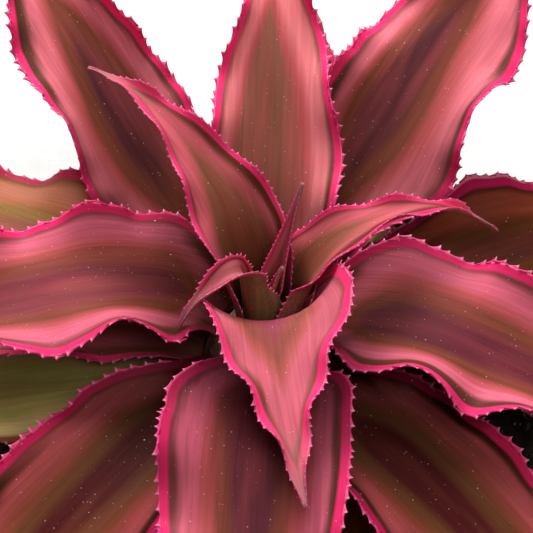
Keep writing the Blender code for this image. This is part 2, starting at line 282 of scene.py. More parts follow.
def leaf_points(leaf, share, across):
    """Points of the leaf sheet, for shares of its length and for -1 (right edge) to 1 (left edge)."""
    steps = np.linspace(0, 1, MIDRIB_STEPS + 1)
    climb = np.radians(eased(steps, (0, *leaf.bends, 1), leaf.pitch))
    heading = np.radians(leaf.azimuth + eased(steps, (0, LEAN_END), (0, leaf.lean)) + leaf.turn * steps**2)
    along = np.stack([np.cos(climb) * np.cos(heading), np.cos(climb) * np.sin(heading), np.sin(climb)])
    path = np.cumsum(along, axis=1) * leaf.length / MIDRIB_STEPS
    start = np.radians(leaf.azimuth)
    radius, height = LAYERS[leaf.layer]
    foot = np.array([math.cos(start) * radius, math.sin(start) * radius, height])
    path = path - path[:, :1] + foot[:, None]

    def at(rows):
        return np.stack([np.interp(share, steps, row) for row in rows], axis=-1)

    centre, tangent = at(path), at(along)
    facing = np.interp(share, steps, heading)
    side = np.stack([-np.sin(facing), np.cos(facing), np.zeros_like(facing)], axis=-1)
    up = np.cross(tangent, side)
    roll = np.radians(leaf.roll) * np.clip(share / ROLL_END, 0, 1)[..., None]
    side, up = side * np.cos(roll) + up * np.sin(roll), up * np.cos(roll) - side * np.sin(roll)

    half = half_width(leaf, share)
    across = across + leaf.skew * (1 - share) ** 2 * across**2
    bend = section_angle(leaf, share)
    sideways = half * np.sin(bend * across) / bend
    raised = half * (1 - np.cos(bend * across)) / bend
    edge = np.where(across > 0, ripple(share, leaf.left), ripple(share, leaf.right))
    margin = np.clip((np.abs(across) - STILL_MIDDLE) / (1 - STILL_MIDDLE), 0, 1) ** MARGIN_POWER
    fade = np.clip(share / RIPPLE_START, 0, 1) ** 2 * np.clip((1 - share) / RIPPLE_END, 0, 1)
    raised = raised + leaf.wave * margin * fade * edge
    sideways = sideways - leaf.pinch * np.sign(across) * margin * fade * (1 + edge) / 2
    short, long = [share * leaf.length / length for length in FRILL_LENGTHS]
    frill = np.sin(short + leaf.azimuth + np.sign(across)) + np.sin(long + 2 * leaf.azimuth)
    raised = raised + FRILL * leaf.wave * margin**2 * fade * frill
    return centre + side * sideways[..., None] + up * raised[..., None]


# ---- materials

def colour(code):
    """An sRGB hex value as the linear colour that nodes take."""
    parts = [int(code[i:i + 2], 16) / 255 for i in (1, 3, 5)]
    return (*[c / 12.92 if c <= 0.04045 else ((c + 0.055) / 1.055) ** 2.4 for c in parts], 1)


def fill(node, inputs):
    """Gives a node's inputs their values or links."""
    for socket, value in inputs.items():
        if isinstance(value, bpy.types.NodeSocket):
            node.id_data.links.new(value, node.inputs[socket])
        else:
            node.inputs[socket].default_value = value


def add(tree, kind, inputs=None, stops=(), **settings):
    """A node with its settings, its input values or links, and the stops of its ramp."""
    made = tree.nodes.new(kind)
    for name, value in settings.items():
        setattr(made, name, value)
    fill(made, inputs or {})
    for index, (position, value) in enumerate(stops):
        elements = made.color_ramp.elements
        element = elements[index] if index < 2 else elements.new(position)
        element.position = position
        element.color = value if isinstance(value, tuple) else (value, value, value, 1)
    return made


def new_material(name):
    """An empty node material with its Principled shader joined to the output."""
    made = bpy.data.materials.new(name)
    made.use_nodes = True
    tree = made.node_tree
    tree.nodes.clear()
    shader = add(tree, "ShaderNodeBsdfPrincipled")
    add(tree, "ShaderNodeOutputMaterial", {"Surface": shader.outputs["BSDF"]})
    return made, tree, shader


# Finishes of the leaf skins: the stripes from the edge in to the midrib, then the foot, whose darkening is
# partly the leaf's own dark base and partly painted shade, and the underside.
FINISHES = {
    "rose": dict(edge="#fc3474", line="#523420", band="#e46c84", salmon="#bc5456", olive="#7c4030",
                 middle="#642834", foot="#381409", under="#8f4c50", silver=0.4),
    "front": dict(edge="#ff3c7a", line="#70402c", band="#ce6474", salmon="#b05850", olive="#944c44",
                  middle="#9a4052", foot="#7a4638", under="#9c563e", silver=0.15, foot_end=0.24, dry=0.72),
    "young": dict(edge="#ee3870", line="#5c3018", band="#c85c68", salmon="#ac5650", olive="#7e4e38",
                  middle="#7c462e", foot="#3e260a", under="#9c563e", silver=0.15, foot_end=0.36, dry=0.74),
    "heart": dict(edge="#dc3868", line="#6c3426", band="#bc5c6a", salmon="#a85258", olive="#904a48",
                  middle="#8c4a46", foot="#4a3210", under="#84643a", silver=0.15, foot_end=0.25, dry=0.7),
    "salmon": dict(edge="#c03c58", line="#6a462a", band="#c27a60", salmon="#b86c50", olive="#8f6a38",
                   middle="#85503e", foot="#4a3014", under="#8d5a50", silver=0.4),
    # older lower leaves: their own dark brown; for those that lie under the rest, the darkness is also
    # painted shade
    "dark": dict(edge="#b01c50", line="#35120a", band="#803a28", salmon="#652a18", olive="#4e2810",
                 middle="#451a14", foot="#240e06", under="#5e3030", silver=0.3),
    # front outer leaves: their own dark maroon, with a near-black foot reaching far out that is partly their
    # own dark base and partly painted shade where the middle leaves shadow them
    "deep": dict(edge="#ea2c68", line="#3a2008", band="#c4585c", salmon="#984838", olive="#74442a",
                 middle="#54191c", foot="#1a0703", under="#6a3438", silver=0.3, foot_end=0.6),
    # low olive leaves: painted light, colours paler than their own olive green so that they look lit where
    # they lie in the rosette's shade
    "olive": dict(edge="#8a4a32", line="#54481c", band="#ccb478", salmon="#b49c60", olive="#9c9450",
                  middle="#8a7c44", foot="#3c3412", under="#6e6040", silver=0.3),
}
FINISHES.update(
    # back outer leaves: painted shade, a foot darkened far out for the shadow of the middle leaves over their
    # lower parts
    shaded=dict(FINISHES["rose"], band="#e47684", middle="#50242c", foot_end=0.6),
    tan=dict(FINISHES["rose"], band="#e47c80", olive="#8c5444", middle="#7e4c3a"),
    # middle_front: rose with painted shade, a darker middle and a long dark foot for the shadow that
    # inner_front casts over its lower part
    dusky=dict(FINISHES["rose"], middle="#5c2830", foot="#4a1220", foot_end=0.54),
    # right horn: painted light, the young skin with its dark foot cut short so that its base looks lit
    turned=dict(FINISHES["young"], foot_end=0.22),
)


# Noise drawn out along the leaf: its width and length in mm, and its detail
STREAKS = {
    "drift": (14, 80, 2.0),     # sways the stripes
    "patches": (9, 60, 2.0),
    "blotches": (4, 34, 3.0),
    "streaks": (1.2, 44, 3.0),
    "ribs": (0.45, 16, 3.0),
}


def leaf_material(name, edge, line, band, salmon, olive, middle, foot, foot_end=0.34, dry=0.84, **_):
    """Succulent leaf skin, grown in long stripes: waxy, finely ribbed, with a few pale scales.

    The stripes follow the edges, so they are read from the sheet's own distances in millimetres.
    """
    made, tree, shader = new_material(name)
    sheet = add(tree, "ShaderNodeAttribute", attribute_name="sheet").outputs["Vector"]
    values = {label: add(tree, "ShaderNodeAttribute", attribute_name=label).outputs["Fac"]
              for label in ("share", "stripe", "inward")}
    for label, (width, length, detail) in STREAKS.items():
        at = add(tree, "ShaderNodeMapping", {"Vector": sheet, "Scale": (1 / width, 1 / length, 1)}).outputs[0]
        values[label] = add(tree, "ShaderNodeTexNoise", {
            "Vector": at, "Scale": 1.0, "Detail": detail}).outputs["Fac"]

    # the wide stripes wander by a few millimetres, the edge's own by a few tenths
    wander = add(tree, "ShaderNodeMath", {0: values["drift"], 1: 0.5}, operation="SUBTRACT").outputs[0]
    for label, source, sway, end in (("reach", "inward", STRIPES_SWAY, STRIPES_END),
                                     ("near", "stripe", EDGE_STRIPES_SWAY, EDGE_STRIPES_END)):
        swayed = add(tree, "ShaderNodeMath", {0: wander, 1: sway, 2: values[source]},
                     operation="MULTIPLY_ADD").outputs[0]
        values[label] = add(tree, "ShaderNodeMath", {0: swayed, 1: end}, operation="DIVIDE").outputs[0]

    # what is read, where it starts and ends, and the value at each end
    for label, source, start, end, low, high in (
            ("salmon patches", "patches", 0.48, 0.72, 0.0, 0.45),
            ("olive blotches", "blotches", 0.52, 0.75, 0.0, 0.4),
            ("line narrowing", "patches", 0.38, 0.62, 1.3, 0.72),
            ("line depth", "patches", 0.35, 0.6, 0.6, 1.0),
            # towards the foot the skin darkens up to foot_end: partly its own dark base, partly painted shade
            # from the leaves above
            ("foot", "share", 0.04, foot_end, 0.9, 0.0),
            ("dry tip", "share", dry, dry + 0.2, 0.0, 0.85),
            ("roughness", "streaks", 0.3, 0.7, 0.42, 0.56)):
        values[label] = add(tree, "ShaderNodeMapRange", {
            "Value": values[source], "From Min": start, "From Max": end, "To Min": low, "To Max": high,
        }).outputs[0]
    values["line reach"] = add(tree, "ShaderNodeMath", {0: values["near"], 1: values["line narrowing"]},
                               operation="MULTIPLY").outputs[0]

    # what is read, and the tones that it passes through
    for label, source, stops in (
            ("stripes", "reach", [(0.18, colour(band)), (0.34, colour(band)), (0.45, colour(salmon)),
                                  (0.54, colour(olive)), (0.61, colour(olive)), (0.74, colour(middle))]),
            ("streak shade", "streaks", [(0.3, 0.88), (0.7, 1.1)]),
            ("line", "line reach", [(0.3, 1.0), (0.56, 0.9), (0.86, 0.0)]),
            ("edge", "near", [(0.34, 1.0), (0.46, 0.0)]),
            # a pale pink line along the very edge: a painted highlight, light catching and shining through
            # the thin margin
            ("rim", "near", [(0.0, 0.45), (0.05, 0.0)]),
            ("rib shade", "ribs", [(0.3, 0.84), (0.7, 1.16)])):
        values[label] = add(tree, "ShaderNodeValToRGB", {"Fac": values[source]}, stops=stops).outputs["Color"]

    # pale scales up to a quarter of a millimetre across, most of them far smaller, and some of them faint
    cells = add(tree, "ShaderNodeTexVoronoi", {"Vector": sheet, "Scale": SCALES_PER_MM, "Randomness": 1.0})
    chance = add(tree, "ShaderNodeSeparateColor", {"Color": cells.outputs["Color"]}).outputs
    size = chance[0]
    for how, other in (("POWER", 4.0), ("MULTIPLY", WIDEST_SCALE)):
        size = add(tree, "ShaderNodeMath", {0: size, 1: other}, operation=how).outputs[0]
    inside = add(tree, "ShaderNodeMath", {0: cells.outputs["Distance"], 1: size},
                 operation="LESS_THAN").outputs[0]
    for label, first, second in (
            ("scales", inside, chance[1]), ("line", values["line"], values["line depth"])):
        values[label] = add(tree, "ShaderNodeMath", {0: first, 1: second}, operation="MULTIPLY").outputs[0]

    # each layer over the stripes: how much of it, its colour and how it lies
    skin = values["stripes"]
    for amount, over, how in (
            (values["salmon patches"], colour(salmon), "MIX"),
            (values["olive blotches"], colour(olive), "MIX"),
            (1.0, values["streak shade"], "MULTIPLY"),
            (values["line"], colour(line), "MIX"),
            (values["edge"], colour(edge), "MIX"),
            # the painted highlight along the very edge
            (values["rim"], colour("#f7a4bd"), "MIX"),
            # the foot's colour, partly the leaf's own and partly painted shade
            (values["foot"], colour(foot), "MIX"),
            (values["dry tip"], colour("#a87470"), "MIX"),
            (0.5, values["rib shade"], "MULTIPLY"),
            (values["scales"], colour("#f3dad4"), "MIX")):
        skin = add(tree, "ShaderNodeMix", {0: amount, 6: skin, 7: over}, data_type="RGBA",
                   blend_type=how).outputs[2]

    relief = add(tree, "ShaderNodeMath", {0: values["streaks"], 1: 1.5, 2: values["ribs"]},
                 operation="MULTIPLY_ADD").outputs[0]
    bump = add(tree, "ShaderNodeBump", {"Height": relief, "Strength": 0.35, "Distance": 0.18 * MM}).outputs[0]
    fill(shader, {
        "Base Color": skin, "Roughness": values["roughness"], "Normal": bump, "IOR": 1.45,
        "Specular IOR Level": 0.12, "Specular Tint": colour("#f0b0a4"),
        "Subsurface Weight": 0.3, "Subsurface Radius": (1.0, 0.35, 0.3), "Subsurface Scale": 1.5 * MM})
    return made


def underside_material(name, under, foot, silver, **_):
    """Underside of a leaf: skin silvered by close rows of tiny pale scales."""
    made, tree, shader = new_material(name)
    sheet = add(tree, "ShaderNodeAttribute", attribute_name="sheet").outputs["Vector"]
    share = add(tree, "ShaderNodeAttribute", attribute_name="share").outputs["Fac"]
    at = add(tree, "ShaderNodeMapping", {"Vector": sheet, "Scale": (1 / 0.9, 1 / 30, 1)}).outputs[0]
    rows = add(tree, "ShaderNodeTexNoise", {"Vector": at, "Scale": 1.0, "Detail": 3.0}).outputs["Fac"]
    scurf = add(tree, "ShaderNodeTexNoise", {"Vector": sheet, "Scale": 1.6, "Detail": 3.0}).outputs["Fac"]
    lines = add(tree, "ShaderNodeValToRGB", {"Fac": rows}, stops=[(0.3, 0.6), (0.7, 1.25)]).outputs["Color"]
    # darker towards the foot, in the finish's foot colour
    toward_foot, dust = [
        add(tree, "ShaderNodeMapRange", {
            "Value": source, "From Min": start, "From Max": end, "To Min": low, "To Max": high}).outputs[0]
        for source, start, end, low, high in ((share, 0.04, 0.22, 0.7, 0.0), (scurf, 0.4, 0.7, 0.0, silver))]
    skin = colour(under)
    for amount, over, how in (
            (toward_foot, colour(foot), "MIX"), (0.8, lines, "MULTIPLY"), (dust, colour("#cdb6b0"), "MIX")):
        skin = add(tree, "ShaderNodeMix", {0: amount, 6: skin, 7: over}, data_type="RGBA",
                   blend_type=how).outputs[2]
    bump = add(tree, "ShaderNodeBump", {"Height": rows, "Strength": 0.4, "Distance": 0.25 * MM}).outputs[0]
    fill(shader, {"Base Color": skin, "Roughness": 0.6, "Specular IOR Level": 0.3, "Normal": bump})
    return made


def tooth_material():
    """Leaf tooth: the edge's own pink flesh, drying to a pale horny point."""
    made, tree, shader = new_material("leaf tooth")
    tip, tone = [add(tree, "ShaderNodeAttribute", attribute_name=label).outputs["Fac"]
                 for label in ("tip", "tone")]
    pale = add(tree, "ShaderNodeMapRange", {
        "Value": tip, "From Min": 0.62, "From Max": 1.0, "To Min": 0.0, "To Max": 0.75}).outputs[0]
    shade = colour("#f02e78")
    for amount, over in ((tone, "#7a3430"), (pale, "#f4a9bd")):
        shade = add(tree, "ShaderNodeMix", {0: amount, 6: shade, 7: colour(over)},
                    data_type="RGBA").outputs[2]
    fill(shader, {
        "Base Color": shade, "Roughness": 0.42, "IOR": 1.45, "Subsurface Weight": 0.5,
        "Subsurface Radius": (1.0, 0.35, 0.3), "Subsurface Scale": 1.0 * MM})
    return made


# Earth and bark: darkest and lightest colour, grain in mm and roughness
EARTHS = {
    "potting mix": ("#120c08", "#35261b", 3.0, 0.92),
    "peat crumbs": ("#17100b", "#3a2a1e", 1.2, 0.92),
    "composted bark": ("#3a2416", "#6d4a30", 1.5, 0.92),
    "perlite": ("#b9b3a8", "#e8e4dc", 0.8, 0.8),
    "root skin": ("#8a6f4c", "#c2a67c", 2.0, 0.7),
    "stem bark": ("#5c3428", "#96685a", 2.5, 0.92),
}


def earth_material(name):
    """Potting mix and what is in it, or bark and root skin: dry and broken, with no shine."""
    dark, light, grain_mm, roughness = EARTHS[name]
    made, tree, shader = new_material(name)
    place = add(tree, "ShaderNodeTexCoord").outputs["Object"]
    grain = add(tree, "ShaderNodeTexNoise", {
        "Vector": place, "Scale": 1 / (grain_mm * MM), "Detail": 4.0, "Roughness": 0.65}).outputs["Fac"]
    shade = add(tree, "ShaderNodeValToRGB", {"Fac": grain}, stops=[
        (0.34, colour(dark)), (0.68, colour(light))]).outputs["Color"]
    bump = add(tree, "ShaderNodeBump", {"Height": grain, "Strength": 0.7, "Distance": 0.6 * MM}).outputs[0]
    fill(shader, {"Base Color": shade, "Roughness": roughness, "Normal": bump})
    return made


def floor_material():
    """Matt painted board: pale, with a barely seen roller texture, 5 to 6 mm across."""
    made, tree, shader = new_material("painted board")
    place = add(tree, "ShaderNodeTexCoord").outputs["Object"]
    grain = add(tree, "ShaderNodeTexNoise", {"Vector": place, "Scale": 180.0, "Detail": 2.0}).outputs["Fac"]
    shade = add(tree, "ShaderNodeValToRGB", {"Fac": grain}, stops=[
        (0.3, colour("#e4e3e1")), (0.7, colour("#e9e8e6"))]).outputs["Color"]
    fill(shader, {"Base Color": shade, "Roughness": 0.8})
    return made


# ---- meshes and objects

def put(name, data):
    """A new object in the scene, for a mesh, a camera or a light."""
    made = bpy.data.objects.new(name, data)
    bpy.context.scene.collection.objects.link(made)
    return made


def mesh_of(name, shape):
    """The mesh of a finished shape."""
    mesh = bpy.data.meshes.new(name)
    shape.to_mesh(mesh)
    shape.free()
    return mesh


def join_rings(shape, rings):
    """Walls from each ring to the next, all with as many corners."""
    for lower, upper in zip(rings, rings[1:]):
        for step in range(len(lower)):
            nearby = (step + 1) % len(lower)
            shape.faces.new((lower[step], lower[nearby], upper[nearby], upper[step]))


def store(mesh, name, values, kind="FLOAT"):
    """Writes one value for each point of a mesh."""
    field = "vector" if kind == "FLOAT_VECTOR" else "value"
    mesh.attributes.new(name, kind, "POINT").data.foreach_set(field, np.asarray(values, np.float32).ravel())


# ---- geometry node trees

def new_tree(name, inputs):
    """A geometry tree with its named inputs and a geometry output."""
    tree = bpy.data.node_groups.new(name, "GeometryNodeTree")
    tree.interface.new_socket("Geometry", in_out="INPUT", socket_type="NodeSocketGeometry")
    for label, kind in inputs.items():
        tree.interface.new_socket(label, in_out="INPUT", socket_type=kind)
    tree.interface.new_socket("Geometry", in_out="OUTPUT", socket_type="NodeSocketGeometry")
    return tree, add(tree, "NodeGroupInput")


def finish_tree(tree, geometry, material):
    """Ends a tree in real geometry that wears the material."""
    real = add(tree, "GeometryNodeRealizeInstances", {"Geometry": geometry}).outputs[0]
    covered = add(tree, "GeometryNodeSetMaterial", {"Geometry": real, "Material": material}).outputs[0]
    add(tree, "NodeGroupOutput", {"Geometry": covered})
    return tree


def grow(name, mesh, tree, values):
    """Runs a geometry tree on a mesh and returns the plain mesh object that it makes."""
    source = put(name, mesh)
    modifier = source.modifiers.new("Grow", "NODES")
    modifier.node_group = tree
    sockets = {item.name: item.identifier for item in tree.interface.items_tree if item.in_out == "INPUT"}
    for label, value in values.items():
        modifier[sockets[label]] = value
    graph = bpy.context.evaluated_depsgraph_get()
    result = bpy.data.meshes.new_from_object(source.evaluated_get(graph))
    bpy.data.objects.remove(source)
    return put(name, result)


def saw_tooth():
    """One tooth as a thin wedge: its outline along the edge, from the leaf's foot side to its tip side."""
    shape = bmesh.new()
    rings, tips = [], []
    for along, rise in TOOTH_OUTLINE:
        thick = TOOTH_THICKNESS * (1 - TOOTH_THINNING * rise) / 2
        ring = [(along, -TOOTH_THICKNESS / 2, -TOOTH_SINK), (along, TOOTH_THICKNESS / 2, -TOOTH_SINK),
                (along, thick, rise), (along, -thick, rise)]
        ring = [(x * TOOTH_SPACING * MM, y * MM, z * TOOTH_HEIGHT * MM) for x, y, z in ring]
        rings.append([shape.verts.new(place) for place in ring])
        tips += [rise] * len(ring)
    join_rings(shape, rings)
    shape.faces.new(rings[0])
    shape.faces.new(rings[-1])
    bmesh.ops.recalc_face_normals(shape, faces=shape.faces)
    mesh = mesh_of("saw_tooth", shape)
    store(mesh, "tip", tips)
    mesh.shade_smooth()
    return mesh


def tooth_tree():
    """Saw teeth set along edge lines, each pointing where the line's outward says."""
    tree, group = new_tree("Edge teeth", {
        "Tooth": "NodeSocketObject", "Spacing": "NodeSocketFloat", "Smallest": "NodeSocketFloat",
        "Largest": "NodeSocketFloat", "Seed": "NodeSocketInt", "Material": "NodeSocketMaterial"})
    given = group.outputs
    tooth = add(tree, "GeometryNodeObjectInfo", {"Object": given["Tooth"]}).outputs["Geometry"]
    lines = add(tree, "GeometryNodeMeshToCurve", {"Mesh": given["Geometry"]}).outputs[0]
    gap, size, outward = [
        add(tree, "GeometryNodeInputNamedAttribute", {"Name": label}, data_type=kind).outputs[0]
        for label, kind in (("gap", "FLOAT"), ("size", "FLOAT"), ("outward", "FLOAT_VECTOR"))]
    spacing = add(tree, "ShaderNodeMath", {0: gap, 1: given["Spacing"]}, operation="MULTIPLY").outputs[0]
    spaced = add(tree, "GeometryNodeResampleCurve", {"Curve": lines, "Length": spacing},
                 mode="LENGTH").outputs[0]
    tangent = add(tree, "GeometryNodeInputTangent").outputs[0]
    slide, vary = [
        add(tree, "FunctionNodeRandomValue", {"Min": low, "Max": high, "Seed": given["Seed"]},
            data_type="FLOAT").outputs[1]
        for low, high in ((-TOOTH_SLIDE, TOOTH_SLIDE), (given["Smallest"], given["Largest"]))]
    slide = add(tree, "ShaderNodeMath", {0: slide, 1: spacing}, operation="MULTIPLY").outputs[0]
    moved = add(tree, "ShaderNodeVectorMath", {0: tangent, "Scale": slide}, operation="SCALE").outputs[0]
    placed = add(tree, "GeometryNodeSetPosition", {"Geometry": spaced, "Offset": moved}).outputs[0]
    rise = add(tree, "ShaderNodeMath", {0: size, 1: vary}, operation="MULTIPLY").outputs[0]
    scale = add(tree, "ShaderNodeCombineXYZ", {"X": gap, "Y": 1.0, "Z": rise}).outputs[0]
    turn = add(tree, "FunctionNodeAxesToRotation", {"Primary Axis": outward, "Secondary Axis": tangent},
               primary_axis="Z", secondary_axis="X").outputs[0]
    set_out = add(tree, "GeometryNodeInstanceOnPoints", {
        "Points": placed, "Instance": tooth, "Rotation": turn, "Scale": scale}).outputs[0]
    return finish_tree(tree, set_out, given["Material"])


LUMP_KNOCK = 0.9        # how far a lump is knocked out of round, in its widths
LUMP_CORNERS = 2.6      # and how many such knocks there are across it


def crumb_tree():
    """Broken lumps scattered over a surface, each turned and stretched at random."""
    tree, group = new_tree("Scattered lumps", {
        "Apart": "NodeSocketFloat", "Density": "NodeSocketFloat", "Smallest": "NodeSocketVector",
        "Largest": "NodeSocketVector", "Fineness": "NodeSocketInt", "Seed": "NodeSocketInt",
        "Material": "NodeSocketMaterial"})
    given = group.outputs
    ball = add(tree, "GeometryNodeMeshIcoSphere", {
        "Radius": 0.5, "Subdivisions": given["Fineness"]}).outputs["Mesh"]
    place = add(tree, "GeometryNodeInputPosition").outputs[0]
    rough = add(tree, "ShaderNodeTexNoise", {
        "Vector": place, "Scale": LUMP_CORNERS, "Detail": 1.0}).outputs["Color"]
    knock = add(tree, "ShaderNodeVectorMath", {0: rough, 1: (0.5, 0.5, 0.5)}, operation="SUBTRACT").outputs[0]
    knock = add(tree, "ShaderNodeVectorMath", {0: knock, "Scale": LUMP_KNOCK}, operation="SCALE").outputs[0]
    lump = add(tree, "GeometryNodeSetPosition", {"Geometry": ball, "Offset": knock}).outputs[0]
    spots = add(tree, "GeometryNodeDistributePointsOnFaces", {
        "Mesh": given["Geometry"], "Distance Min": given["Apart"], "Density Max": given["Density"],
        "Seed": given["Seed"]}, distribute_method="POISSON")
    size, turn = [
        add(tree, "FunctionNodeRandomValue", {0: low, 1: high, "Seed": given["Seed"]},
            data_type="FLOAT_VECTOR").outputs[0]
        for low, high in ((given["Smallest"], given["Largest"]), ((0, 0, 0), (math.tau,) * 3))]
    turn = add(tree, "FunctionNodeEulerToRotation", {0: turn}).outputs[0]
    set_out = add(tree, "GeometryNodeInstanceOnPoints", {
        "Points": spots.outputs["Points"], "Instance": lump, "Rotation": turn, "Scale": size}).outputs[0]
    return finish_tree(tree, set_out, given["Material"])


def root_tree():
    """Round roots drawn along lines, each as thick as its line says."""
    tree, group = new_tree("Roots", {"Sides": "NodeSocketInt", "Material": "NodeSocketMaterial"})
    given = group.outputs
    lines = add(tree, "GeometryNodeMeshToCurve", {"Mesh": given["Geometry"]}).outputs[0]
    thick = add(tree, "GeometryNodeInputNamedAttribute", {"Name": "thick"}, data_type="FLOAT").outputs[0]
    ring = add(tree, "GeometryNodeCurvePrimitiveCircle", {
        "Resolution": given["Sides"], "Radius": 1.0}).outputs[0]
    tubes = add(tree, "GeometryNodeCurveToMesh", {
        "Curve": lines, "Profile Curve": ring, "Scale": thick, "Fill Caps": True}).outputs[0]
    return finish_tree(tree, tubes, given["Material"])


# ---- pieces

def dressed(piece, slot, *nodes):
    """Fastens a finished piece to the plant and hides the solids it stands for; the finish slot it is given
    is not used.
    """
    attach(piece, BODY)
    if nodes:
        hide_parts(*nodes)
    return piece


def fine_leaf(index, leaf, skins, undersides):
    """A leaf as a fine sheet that knows its own distances, thinning from midrib to edge."""
    shape = bmesh.new()
    rows = round(leaf.length / CELL_LENGTH)
    bmesh.ops.create_grid(shape, x_segments=rows, y_segments=CELLS_ACROSS, size=1)
    grid = np.array([vertex.co for vertex in shape.verts])
    share = TIP_SHARE * (grid[:, 0] + 1) / 2
    across = np.sin(grid[:, 1] * math.pi / 2)
    for vertex, place in zip(shape.verts, leaf_points(leaf, share, across) * MM):
        vertex.co = place
    mesh = mesh_of(leaf.name, shape)
    mesh.shade_smooth()
    half = half_width(leaf, share)
    aside = MIDDLE_STRIPES.get(leaf.name, 0.0)
    inward = np.minimum((1 - across) / (1 - aside), (1 + across) / (1 + aside))
    store(mesh, "stripe", half * (1 - np.abs(across)) * STRIPE_WIDTH / leaf.width)
    store(mesh, "inward", half * inward * STRIPE_WIDTH / leaf.width)
    store(mesh, "share", share)
    pattern = np.full_like(half, index * PATTERN_APART)
    store(mesh, "sheet", np.stack([half * across, share * leaf.length, pattern], axis=1), "FLOAT_VECTOR")
    made = put(leaf.name + "_blade", mesh)
    finish, _, _ = LOOKS.get(leaf.name, USUAL_LOOK)
    mesh.materials.append(skins[finish])
    mesh.materials.append(undersides[finish])
    body = made.vertex_groups.new(name="body")
    for number, reach in enumerate(np.abs(across)):
        body.add([number], float(1 - reach**2), "REPLACE")
    thicken = made.modifiers.new("Thickness", "SOLIDIFY")
    thicken.thickness = LEAF_MIDDLE * MM
    thicken.offset = -1
    thicken.vertex_group = body.name
    thicken.thickness_vertex_group = LEAF_EDGE / LEAF_MIDDLE
    thicken.material_offset = 1
    slot = "leaf_olive" if finish == "olive" else "leaf_rose"
    return dressed(made, slot, leaf.name)


def edge_lines():
    """One mesh of edge lines for all leaves, with each point's outward way, tooth size, gap and tone."""
    places, ways, sizes, gaps, tones, links = [], [], [], [], [], []
    for leaf in LEAVES:
        finish, tooth, gap = LOOKS.get(leaf.name, USUAL_LOOK)
        share = np.linspace(EDGE_START, EDGE_END, round(leaf.length))
        for side in (1, -1):
            edge = leaf_points(leaf, share, np.full_like(share, side))
            out = edge - leaf_points(leaf, share, np.full_like(share, side * INSIDE_EDGE))
            along = leaf_points(leaf, share + NEXT_ALONG, np.full_like(share, side)) - edge
            along /= np.linalg.norm(along, axis=1, keepdims=True)
            out -= along * (out * along).sum(1, keepdims=True)
            out /= np.linalg.norm(out, axis=1, keepdims=True)
            edge -= side * np.cross(along, out) * LEAF_EDGE / 2
            links.extend((at, at + 1) for at in range(len(places), len(places) + len(share) - 1))
            places.extend(edge * MM)
            ways.extend(out)
            sizes.extend(tooth * eased(share, *TOOTH_GROWTH))
            gaps.extend([gap] * len(share))
            tones.extend([TOOTH_TONES.get(finish, 0)] * len(share))
    mesh = bpy.data.meshes.new("edge_lines")
    mesh.from_pydata(places, links, [])
    store(mesh, "outward", ways, "FLOAT_VECTOR")
    for name, values in (("size", sizes), ("gap", gaps), ("tone", tones)):
        store(mesh, name, values)
    return mesh


def edge_teeth(material):
    """Every saw tooth of the plant, as one mesh."""
    pattern = bpy.data.objects.new("saw_tooth", saw_tooth())
    smallest, largest = TOOTH_SIZES
    teeth = grow("edge_teeth", edge_lines(), tooth_tree(), {
        "Tooth": pattern, "Spacing": TOOTH_SPACING * MM, "Smallest": smallest, "Largest": largest,
        "Seed": TOOTH_SEED, "Material": material})
    bpy.data.objects.remove(pattern)
    return dressed(teeth, "leaf_rose")


def ball_radius(height):
    """Radius of the root ball's side at a height."""
    out, low = BALL_FOOT
    part = min(max((height - low) / (BALL_HEIGHT - BALL_EDGE - low), 0), 1)
    return BALL_BASE_RADIUS + out + part * (BALL_TOP_RADIUS - BALL_BASE_RADIUS - out)


def crown_height(radius):
    """Height of its slightly domed top at a distance from the axis."""
    return BALL_HEIGHT + BALL_CROWN * (1 - radius / BALL_TOP_RADIUS)


def fine_ball(material):
    """The root ball's skin: turned like the solid, then worn into lumps and pits."""
    side = [(ball_radius(height), height)
            for height in np.arange(BALL_FOOT[1], BALL_HEIGHT - BALL_EDGE, BALL_SPACING)]
    rim = [(BALL_TOP_RADIUS - BALL_EDGE * (1 - math.sin(turn)),
            BALL_HEIGHT - BALL_EDGE * (1 - math.cos(turn)))
           for turn in np.linspace(math.pi / 2, 0, RIM_STEPS)]
    top = [(radius, crown_height(radius))
           for radius in np.arange(BALL_TOP_RADIUS - BALL_EDGE - BALL_SPACING, 0, -BALL_SPACING)]
    under = [(radius, 0) for radius in np.arange(BALL_SPACING, BALL_BASE_RADIUS, BALL_SPACING)]
    shape = bmesh.new()
    rings = []
    for radius, height in [*under, *side, *rim, *top]:
        ring = []
        for step in range(BALL_STEPS):
            turn = math.tau * step / BALL_STEPS
            place = Vector((radius * math.cos(turn), radius * math.sin(turn), height))
            if height > 0:
                wear = noise.fractal(place / WEAR_LENGTH, 1.0, 2.0, WEAR_OCTAVES)
                reach = 1 + WEAR_OUT * wear - WORN_AWAY
                worn = max(LEAST_HEIGHT, place.z + WEAR_UP * wear)
                place = Vector((place.x * reach, place.y * reach, worn))
            ring.append(shape.verts.new(place * MM))
        rings.append(ring)
    join_rings(shape, rings)
    for ring, height in ((rings[0], 0), (rings[-1], BALL_HEIGHT + BALL_CROWN)):
        centre = shape.verts.new((0, 0, height * MM))
        for step in range(BALL_STEPS):
            shape.faces.new((ring[step], ring[(step + 1) % BALL_STEPS], centre))
    bmesh.ops.recalc_face_normals(shape, faces=shape.faces)
    mesh = mesh_of("root_ball_mix", shape)
    mesh.shade_smooth()
    mesh.materials.append(material)
    return dressed(put("root_ball_mix", mesh), "potting_mix", "root_ball")


# The surface that bears the loose lumps
BEARING = (4, 14)       # its lowest height, and its least distance from the axis
BEARING_STEPS = 72      # round it
BEARING_RINGS = (8, 6)  # up its side and over its top


